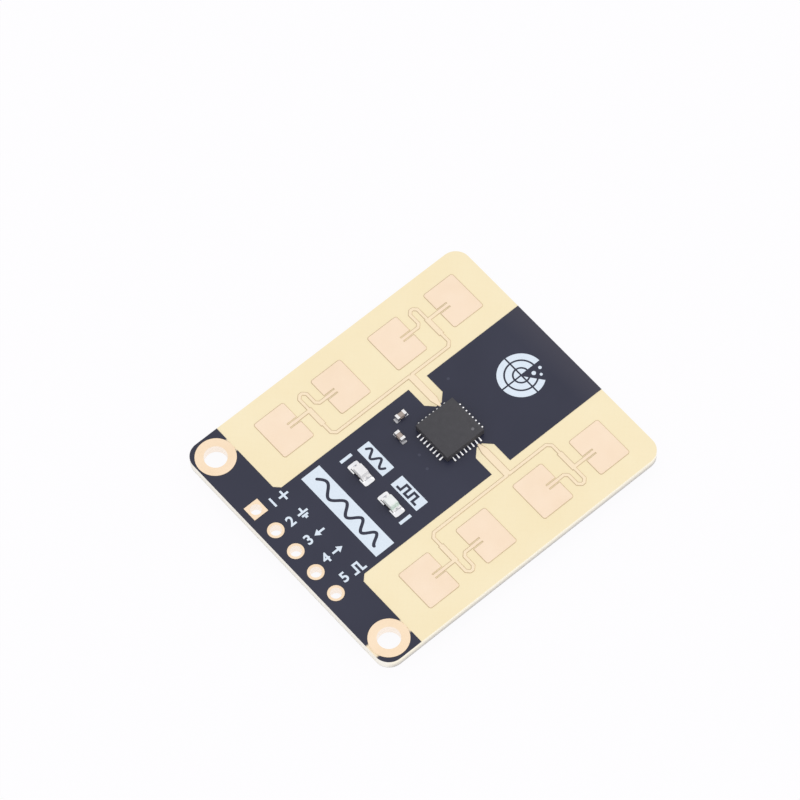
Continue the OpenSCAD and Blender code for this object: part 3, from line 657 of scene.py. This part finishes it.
def chirp():        # a wave that quickens from left to right
    points = []
    for step in range(241):
        share = step / 240
        turns = title["turns"] * share * (1 - title["quicken"] * (1 - share))
        points.append((title["x"] + title["length"] * (share - 0.5),
                       alongEdge(title["y"]) + title["reach"] * math.sin(2 * math.pi * turns)))
    return stroke(points, title["line"])


labels = {"x": 2.13, "shift": -0.025, "y": 11.71, "width": 3.25, "height": 1.25, "line": 0.23, "reach": 0.34,
          "length": 2.4}


def sine(x, y):
    points = [(x + labels["length"] * (step / 60 - 0.5), y + labels["reach"] * math.sin(4 * math.pi * step / 60))
              for step in range(61)]
    return stroke(points, labels["line"])


def pulses(x, y, length, reach, line, count):        # square pulses on a base line
    unit = length / (2 * count + 1)
    points = [(-length / 2, -reach)]
    for pulse in range(count):
        start = -length / 2 + unit * (2 * pulse + 1)
        points += [(start, -reach), (start, reach), (start + unit, reach), (start + unit, -reach)]
    points.append((length / 2, -reach))
    return stroke([(x + across, y + up) for across, up in points], line, rounded=False)


bars = {"x": 3.75, "shift": -0.03, "y": 9.89, "width": 0.29, "height": 1.19}

boxes = [box(title["x"], alongEdge(title["y"]), title["width"], title["height"]), chirp()]
for side in (-1, 1):
    middle = (side * labels["x"] + labels["shift"], alongEdge(labels["y"]))
    boxes.append(box(*middle, labels["width"], labels["height"]))
    boxes.append(sine(*middle) if side < 0
                 else pulses(*middle, labels["length"], labels["reach"], labels["line"], 2))
    boxes.append(box(side * bars["x"] + bars["shift"], alongEdge(bars["y"]), bars["width"], bars["height"]))

scope = {        # a plain radar screen: rings and cross lines left open, and a sweep with echoes in it
    "x": -0.1, "y": 25.85, "bands": ((0, 0.62), (0.78, 1.34), (1.5, 2.06)), "gap": 0.15, "sweep": 38,
    "echoes": ((1.06, 60, 0.19), (1.72, 74, 0.15), (1.66, 52, 0.13)),
}


def sector(inner, outer, start, end):        # a quarter of a ring with its sides drawn in to leave the cross open
    found = []
    for reach, order in ((outer, 1), (inner, -1)):
        if reach:
            trim = math.degrees(math.asin(scope["gap"] / 2 / reach))
            first, last = start + trim, end - trim
            angles = [math.radians(first + (last - first) * step / 24) for step in range(25)][::order]
            found += [(reach * math.cos(angle), reach * math.sin(angle)) for angle in angles]
        else:
            middle, far = math.radians((start + end) / 2), scope["gap"] / 2 / math.sin(math.radians(end - start) / 2)
            found.append((far * math.cos(middle), far * math.sin(middle)))
    return [(scope["x"] + x, alongEdge(scope["y"]) + y) for x, y in found]


for inner, outer in scope["bands"]:
    for quarter in range(4):
        boxes.append(sector(inner, outer, quarter * 90, scope["sweep"] if quarter == 0 else quarter * 90 + 90))
for reach, angle, radius in scope["echoes"]:
    angle = math.radians(angle)
    boxes.append([(scope["x"] + reach * math.cos(angle) + radius * math.cos(turn),
                   alongEdge(scope["y"]) + reach * math.sin(angle) + radius * math.sin(turn))
                  for turn in [2 * math.pi * step / 24 for step in range(24)]])

pins = {        # where the marks of each pin stand, across the board and away from the pin edge
    "x": (-4.6, -2.33, -0.07, 2.16, 4.46), "numberY": 2.74, "signY": (3.84, 4.0, 3.9, 3.9, 4.14),
    "size": 1.3, "weight": 0.03, "line": 0.19,
}


def turned(loop, x, y):        # a sign drawn upright, turned so that it reads away from the pin edge
    return [(x - up, alongEdge(y) + across) for across, up in loop]


line = pins["line"]
signs = [
    [[(-line / 2, -0.48), (line / 2, -0.48), (line / 2, -line / 2), (0.48, -line / 2), (0.48, line / 2),
      (line / 2, line / 2), (line / 2, 0.48), (-line / 2, 0.48), (-line / 2, line / 2), (-0.48, line / 2),
      (-0.48, -line / 2), (-line / 2, -line / 2)]],        # supply
    [[(-line / 2, 0.5), (-line / 2, 0.1), (-0.5, 0.1), (-0.5, 0.1 - line), (0.5, 0.1 - line), (0.5, 0.1),
      (line / 2, 0.1), (line / 2, 0.5)], box(0, -0.29, 0.62, line), box(0, -0.5, 0.26, line)],        # ground
    [[(0.5, 0.5 * line), (-0.05, 0.5 * line), (-0.05, 0.34), (-0.55, 0), (-0.05, -0.34), (-0.05, -0.5 * line),
      (0.5, -0.5 * line)]],        # into the board
    [[(-0.5, -0.5 * line), (0.05, -0.5 * line), (0.05, -0.34), (0.55, 0), (0.05, 0.34), (0.05, 0.5 * line),
      (-0.5, 0.5 * line)]],        # out of the board
    [pulses(0, 0, 1.26, 0.4, line, 1)],        # switched output
]
for index, sign in enumerate(signs):
    for loop in sign:
        boxes.append(turned(loop, pins["x"][index], pins["signY"][index]))

marks = addPiece("printed_marks", inkMesh("printed_marks", boxes), "white_print")
marks.data.transform(Matrix.Translation((0, 0, (ink["low"] + ink["high"]) / 2 * mm)))
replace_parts(marks, "silkscreen_top")

print("marking the back")
back = {        # mm; frames are X, distance from the pin edge, width and height
    "mask": 1.14, "ink": 0.02, "line": 0.14, "traceHeight": 0.01, "trace": 0.24, "via": 0.3,
    "frames": ((-1.2, 6.3, 3.5, 3.9), (-4.4, 6.3, 1.8, 3.2), (2, 6.3, 1.8, 3.2), (0, 21.3, 3.8, 3.1),
               (-3.3, 17.2, 1.8, 0.9), (-3.3, 18.7, 1.8, 0.9), (3.3, 17.2, 1.8, 0.9), (3.3, 18.7, 1.8, 0.9),
               (-2.7, 21.3, 0.9, 1.8), (2.7, 21.3, 0.9, 1.8), (-1.9, 10.4, 1.8, 0.9), (1.9, 10.4, 1.8, 0.9)),
    "lines": (((-2.2, 23.4), (2.2, 23.4)), ((-2.2, 27), (2.2, 27))),
    "dots": ((-3.6, 27.2, 0.22), (-3.4, 4.6, 0.18), (-2.15, 23, 0.14)),
    "traces": (((-5.08, 2), (-5.08, 3.6), (-4.4, 4.3), (-4.4, 5.2)),
               ((0, 2), (0, 2.9), (4, 6.9), (4, 14.6), (2.5, 16.1), (1, 16.1)),
               ((2.54, 2), (2.54, 2.6), (4.7, 4.8), (4.7, 15), (4.7, 16), (3.8, 16.3), (1.6, 16.6)),
               ((5.08, 2), (5.4, 3), (5.4, 19), (4.6, 19.8), (1.6, 19.8)),
               ((-0.25, 8), (-0.25, 9), (-1.3, 10.4), (-1.3, 12.6), (0.2, 14.1), (0.2, 15.4)),
               ((-2.5, 10.4), (-3.6, 10.4), (-4.3, 11.1), (-4.3, 14.6), (-3.3, 15.6), (-1.4, 15.6)),
               ((-2.9, 17.2), (-1.4, 17.2)), ((-2.9, 18.7), (-1.4, 18.7)), ((2.9, 17.2), (1.4, 17.2)),
               ((2.9, 18.7), (1.4, 18.7)), ((-1.1, 20.5), (-1.1, 19.5)), ((1.1, 20.5), (1.1, 19.5)),
               ((-3.2, 24.2), (-4.4, 23), (-4.4, 20.6), (-3.6, 19.8), (-1.5, 19.8)),
               ((3.2, 24.2), (4.4, 23), (4.4, 21.4), (3.6, 20.6), (1.9, 20.4))),
    "numberY": 3.05, "numberSize": 1.15, "pinPitch": 2.54,
}
plain = [[(x, alongEdge(y)) for x, y in line] for line in back["lines"]]
frames = [stroke(line, back["line"]) for line in plain]
for x, y, width, height in back["frames"]:
    frames.append(box(x, alongEdge(y), width, height))
    frames.append(box(x, alongEdge(y), width - 2 * back["line"], height - 2 * back["line"]))


def disc(x, y, radius):
    return [(x + radius * math.cos(turn), y + radius * math.sin(turn))
            for turn in [2 * math.pi * step / 24 for step in range(24)]]


frames += [disc(x, alongEdge(y), radius) for x, y, radius in back["dots"]]
backMarks = addPiece("printed_marks_back", inkMesh("printed_marks_back", frames), "white_print")
inkMiddle = back["mask"] - back["ink"] / 2
backMarks.data.transform(Matrix.Translation((0, 0, inkMiddle * mm)))

for index, line in enumerate(back["traces"]):        # copper that shows through the mask as low ridges
    line = [(x, alongEdge(y)) for x, y in line]
    for part, loop in (("trace", stroke(line, back["trace"])), ("via", disc(*line[-1], back["via"]))):
        ridge = addPiece(f"back_{part}_{index + 1}", inkMesh("back_ridge", [loop], back["traceHeight"]),
                         "solder_mask", "mask_on_copper")
        ridge.data.transform(Matrix.Translation((0, 0, (back["mask"] - back["traceHeight"] / 2
                                                        - (0.002 if part == "via" else 0)) * mm)))


def number(name, text, size, x, y, z, turn):
    digit = bpy.data.curves.new("number", "FONT")
    digit.body = text
    digit.size = size * mm
    digit.align_x, digit.align_y = "CENTER", "CENTER"
    digit.extrude = (ink["high"] - ink["low"]) / 2 * mm
    digit.offset = pins["weight"] * mm
    piece = addPiece(name, flatMesh("number", digit), "white_print")
    piece.data.transform(Matrix.Translation((x * mm, y * mm, z * mm)) @ turn)


for index, place in enumerate(pins["x"]):
    number(f"pin_number_{index + 1}", str(index + 1), pins["size"], place, alongEdge(pins["numberY"]),
           (ink["low"] + ink["high"]) / 2, Matrix.Rotation(math.pi / 2, 4, "Z"))
    number(f"back_number_{index + 1}", str(index + 1), back["numberSize"], (index - 2) * back["pinPitch"] + 0.72,
           alongEdge(back["numberY"]), inkMiddle, Matrix.Rotation(math.pi, 4, "Y"))

print("setting the stage")
stageLook = {"floor": 2.0, "floorWhite": 0.94, "steadyWhite": 0.96, "world": 0.95, "keyPlace": (0.1, 0.62, 0.4),
             "keySize": 0.5, "keyPower": 0.6, "fillPlace": (0.56, -0.2, 0.1), "fillSize": 0.3, "fillPower": 0.35}


def seenPlainly(shader):        # 1 for rays that show the background: straight, mirrored or through glass
    path = {part: shader.node("LightPath", output=part)
            for part in ("Is Camera Ray", "Is Glossy Ray", "Is Transmission Ray")}
    return shader.maths("ADD", path["Is Camera Ray"] + path["Is Glossy Ray"], path["Is Transmission Ray"], clamp=True)


floorMesh = bpy.data.meshes.new("floor")
half = stageLook["floor"]
floorMesh.from_pydata([(-half, -half, 0), (half, -half, 0), (half, half, 0), (-half, half, 0)], [], [(0, 1, 2, 3)])
floor = bpy.data.objects.new("floor", floorMesh)
bpy.context.scene.collection.objects.link(floor)
shader = newShader("floor")
paper = shader.node("BsdfDiffuse", None, {"Color": (stageLook["floorWhite"],) * 3 + (1,)})
glow = shader.node("Emission", None, {"Color": (0.992, 0.985, 1, 1), "Strength": 1})
lit = shader.node("MixShader", None, {0: seenPlainly(shader) * stageLook["steadyWhite"], 1: paper, 2: glow})
clear = shader.node("BsdfTransparent")
below = shader.node("NewGeometry", output="Backfacing")
shader.node("OutputMaterial", None, {"Surface": shader.node("MixShader", None, {0: below, 1: lit, 2: clear})})
floorMesh.materials.append(shader.owner)

world = bpy.data.worlds.new("studio")
bpy.context.scene.world = world
shader = Shader(world)
strength = seenPlainly(shader) * (1 - stageLook["world"]) + stageLook["world"]
sky = shader.node("Background", None, {"Color": (1, 1, 1, 1), "Strength": strength})
shader.node("OutputWorld", None, {"Surface": sky})

for name in ("key", "fill"):
    lamp = bpy.data.lights.new(name, "AREA")
    lamp.energy, lamp.size = stageLook[name + "Power"], stageLook[name + "Size"]
    holder = bpy.data.objects.new(name, lamp)
    holder.location = stageLook[name + "Place"]
    holder.rotation_euler = (-Vector(stageLook[name + "Place"])).to_track_quat("-Z", "Y").to_euler()
    bpy.context.scene.collection.objects.link(holder)

view = {        # angles in degrees, distances in m
    "lens": 260.737, "azimuth": 52.135, "elevation": 62.026, "roll": -3.088, "distance": 0.480135,
    "target": (-0.004992, 0.001788, 0.00214),
}
azimuth, elevation, roll = (math.radians(view[part]) for part in ("azimuth", "elevation", "roll"))
back = Vector((math.sin(azimuth) * math.cos(elevation), -math.cos(azimuth) * math.cos(elevation),
               math.sin(elevation)))
right = (-back).cross(Vector((0, 0, 1))).normalized()
up = right.cross(-back)
tilted = right * math.cos(roll) + up * math.sin(roll)
upright = up * math.cos(roll) - right * math.sin(roll)
lens = bpy.data.cameras.new("camera")
lens.lens, lens.sensor_width = view["lens"], 36
lens.clip_start, lens.clip_end = 0.01, 10
camera = bpy.data.objects.new("camera", lens)
camera.matrix_world = (Matrix.Translation(Vector(view["target"]) + back * view["distance"])
                       @ Matrix((tilted, upright, back)).transposed().to_4x4())
bpy.context.scene.collection.objects.link(camera)
bpy.context.scene.camera = camera
bpy.context.scene.view_settings.view_transform = "Standard"
